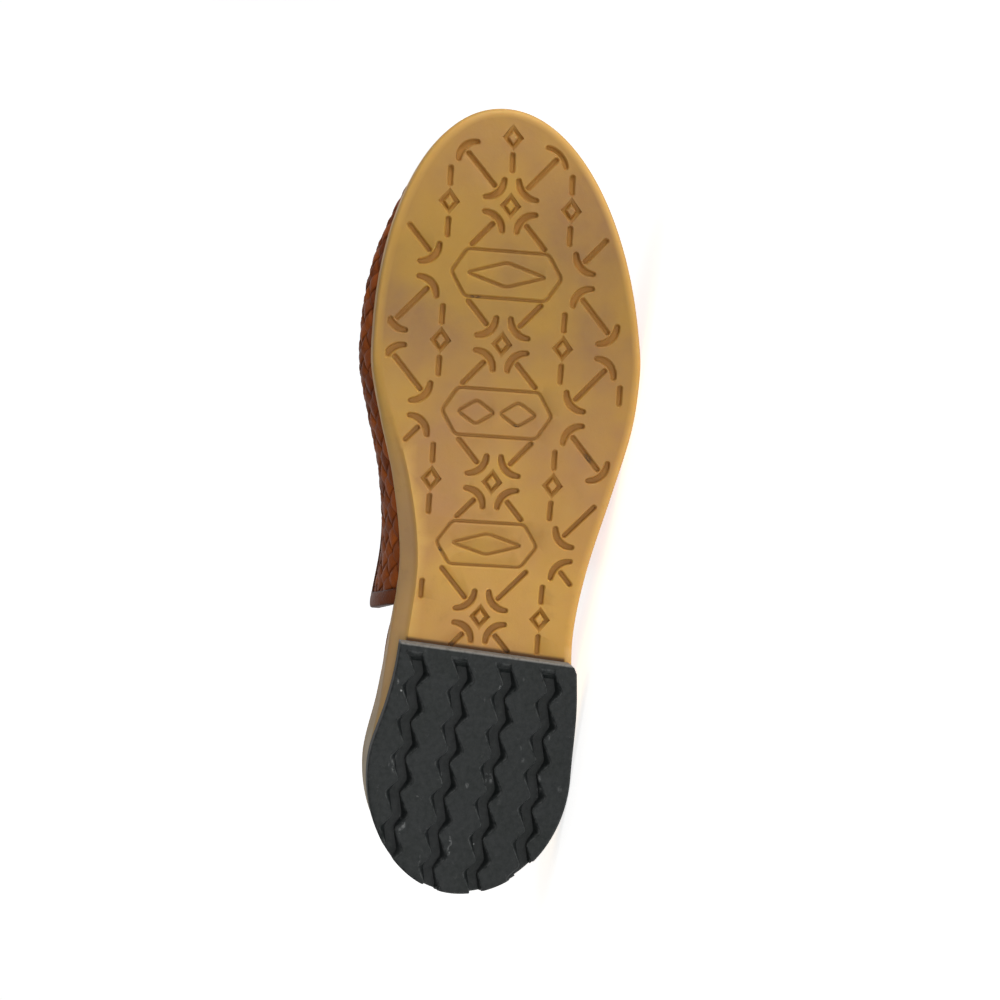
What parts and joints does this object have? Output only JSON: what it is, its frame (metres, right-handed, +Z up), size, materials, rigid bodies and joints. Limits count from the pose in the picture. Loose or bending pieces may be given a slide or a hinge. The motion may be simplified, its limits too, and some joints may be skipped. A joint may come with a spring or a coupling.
{
  "type": "huarache sandal",
  "caption": "Woven leather closed-toe sandal for the left foot with a heel strap, gum rubber sole and black heel lift, lying on its outer side.",
  "frame": {"origin": "Centre of the bounding box's bottom face, on the floor the shoe lies on.", "axes": "+X from heel to toe, -Y the way the tread faces, +Z up from the floor; the shoe's outer side is down."},
  "size_m": [0.2692, 0.073, 0.0966],
  "materials": {
    "gum_rubber": "satin, slightly translucent",
    "black_rubber": "matt",
    "woven_leather": "satin",
    "band_leather": "satin",
    "strap_leather": "satin",
    "insole_leather": "matt"
  },
  "bodies": {
    "root": {"outsole": "gum_rubber", "heel_lift": "black_rubber", "upper": "woven_leather", "collar_band": "band_leather", "heel_strap": "strap_leather", "insole": "insole_leather"}
  },
  "joints": []
}
